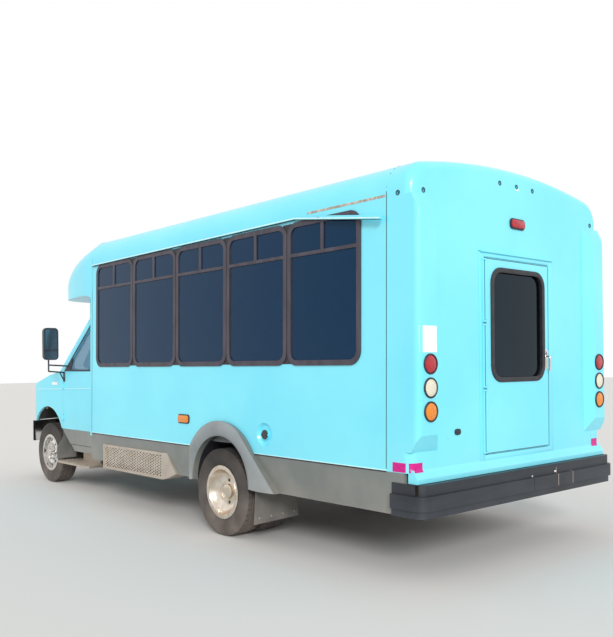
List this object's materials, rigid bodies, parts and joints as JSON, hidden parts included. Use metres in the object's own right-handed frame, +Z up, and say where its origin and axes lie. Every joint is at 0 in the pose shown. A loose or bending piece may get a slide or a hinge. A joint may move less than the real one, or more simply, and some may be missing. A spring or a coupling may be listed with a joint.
{
  "type": "shuttle minibus",
  "caption": "Shuttle minibus: van cab and chassis with a wider windowed passenger body, twin rear wheels, side entrance, rear exit door and opening hood.",
  "frame": {"origin": "on the ground under the middle of the bus, centred on its length and width", "axes": "+X forward along the bus, +Y to the driver side (left), +Z up"},
  "size_m": [6.967, 2.6, 2.869],
  "materials": {
    "sky_blue_paint": "gloss",
    "grey_paint": "satin",
    "frame_black": "satin",
    "engine_iron": "matte",
    "knuckle_iron": "matte",
    "tyre_rubber": "matte",
    "wheel_chrome": "polished",
    "wheel_steel": "satin",
    "grey_plastic": "matte",
    "bumper_chrome": "polished",
    "clear_glass": "gloss",
    "dark_glass": "gloss",
    "black_plastic": "matte",
    "floor_vinyl": "matte",
    "bronze_frame": "satin",
    "lamp_plastic": "gloss",
    "step_aluminium": "satin",
    "flap_rubber": "matte",
    "seat_fabric": "matte"
  },
  "bodies": {
    "bus_body": {"cab_shell": "sky_blue_paint", "chassis_frame": "frame_black", "dashboard": "black_plastic", "engine_block": "engine_iron", "floor": "floor_vinyl", "front_axle": "frame_black", "front_bumper": "bumper_chrome", "front_cap": "sky_blue_paint", "grille": "grey_plastic", "gutters": "sky_blue_paint", "lamps": "lamp_plastic", "mud_flaps": "flap_rubber", "rear_axle": "frame_black", "rear_bumper": "black_plastic", "rear_cap": "sky_blue_paint", "roof": "sky_blue_paint", "seats": "seat_fabric", "skirts": "grey_paint", "springs": "frame_black", "step_and_box": "step_aluminium", "wall_left": "sky_blue_paint", "wall_right": "sky_blue_paint", "window_frames": "bronze_frame", "window_glass": "dark_glass", "windshield": "clear_glass"},
    "knuckle_left": {"knuckle_left": "knuckle_iron"},
    "knuckle_right": {"knuckle_right": "knuckle_iron"},
    "wheel_front_left": {"tyre_front_left": "tyre_rubber", "rim_front_left": "wheel_chrome"},
    "wheel_front_right": {"tyre_front_right": "tyre_rubber", "rim_front_right": "wheel_chrome"},
    "twin_wheels_left": {"tyres_rear_left": "tyre_rubber", "rims_rear_left": "wheel_steel"},
    "twin_wheels_right": {"tyres_rear_right": "tyre_rubber", "rims_rear_right": "wheel_steel"},
    "hood_panel": {"hood": "sky_blue_paint"},
    "driver_door": {"cab_door_left": "sky_blue_paint", "cab_glass_left": "clear_glass", "mirror_left": "black_plastic"},
    "passenger_door": {"cab_door_right": "sky_blue_paint", "cab_glass_right": "clear_glass", "mirror_right": "black_plastic"},
    "rear_exit": {"rear_door": "sky_blue_paint", "rear_door_glass": "dark_glass"},
    "entry_front": {"entry_leaf_front": "bronze_frame"},
    "entry_rear": {"entry_leaf_rear": "bronze_frame"}
  },
  "joints": [
    {"name": "steer_left", "type": "hinge", "parent": "bus_body", "child": "knuckle_left", "pos_m": [2.7315, 0.801, 0.366], "axis": [0, 0, 1], "range_deg": [-30, 30]},
    {"name": "steer_right", "type": "hinge", "parent": "bus_body", "child": "knuckle_right", "pos_m": [2.7315, -0.801, 0.366], "axis": [0, 0, 1], "range_deg": [-30, 30]},
    {"name": "spin_front_left", "type": "hinge", "parent": "knuckle_left", "child": "wheel_front_left", "pos_m": [2.7315, 0.881, 0.366], "axis": [0, 1, 0], "continuous": true},
    {"name": "spin_front_right", "type": "hinge", "parent": "knuckle_right", "child": "wheel_front_right", "pos_m": [2.7315, -0.881, 0.366], "axis": [0, 1, 0], "continuous": true},
    {"name": "spin_rear_left", "type": "hinge", "parent": "bus_body", "child": "twin_wheels_left", "pos_m": [-1.2815, 0.989, 0.366], "axis": [0, 1, 0], "continuous": true},
    {"name": "spin_rear_right", "type": "hinge", "parent": "bus_body", "child": "twin_wheels_right", "pos_m": [-1.2815, -0.989, 0.366], "axis": [0, 1, 0], "continuous": true},
    {"name": "hood_lift", "type": "hinge", "parent": "bus_body", "child": "hood_panel", "pos_m": [2.4155, 0, 1.375], "axis": [0, -1, 0], "range_deg": [0, 55]},
    {"name": "driver_door_swing", "type": "hinge", "parent": "bus_body", "child": "driver_door", "pos_m": [2.2795, 1.014, 1], "axis": [0, 0, -1], "range_deg": [0, 70]},
    {"name": "passenger_door_swing", "type": "hinge", "parent": "bus_body", "child": "passenger_door", "pos_m": [2.2795, -1.014, 1], "axis": [0, 0, 1], "range_deg": [0, 70]},
    {"name": "rear_exit_swing", "type": "hinge", "parent": "bus_body", "child": "rear_exit", "pos_m": [-3.382, 0.415, 1.4], "axis": [0, 0, -1], "range_deg": [0, 110]},
    {"name": "entry_front_swing", "type": "hinge", "parent": "bus_body", "child": "entry_front", "pos_m": [1.0455, -1.227, 0.72212], "axis": [0, 0.0145, 0.9999], "range_deg": [0, 88]},
    {"name": "entry_rear_swing", "type": "hinge", "parent": "bus_body", "child": "entry_rear", "pos_m": [0.2715, -1.227, 0.72212], "axis": [0, -0.0145, -0.9999], "range_deg": [0, 88]}
  ],
  "couplings": [
    {"joint": "steer_right", "follows": "steer_left", "ratio": 1},
    {"joint": "entry_rear_swing", "follows": "entry_front_swing", "ratio": 1}
  ]
}
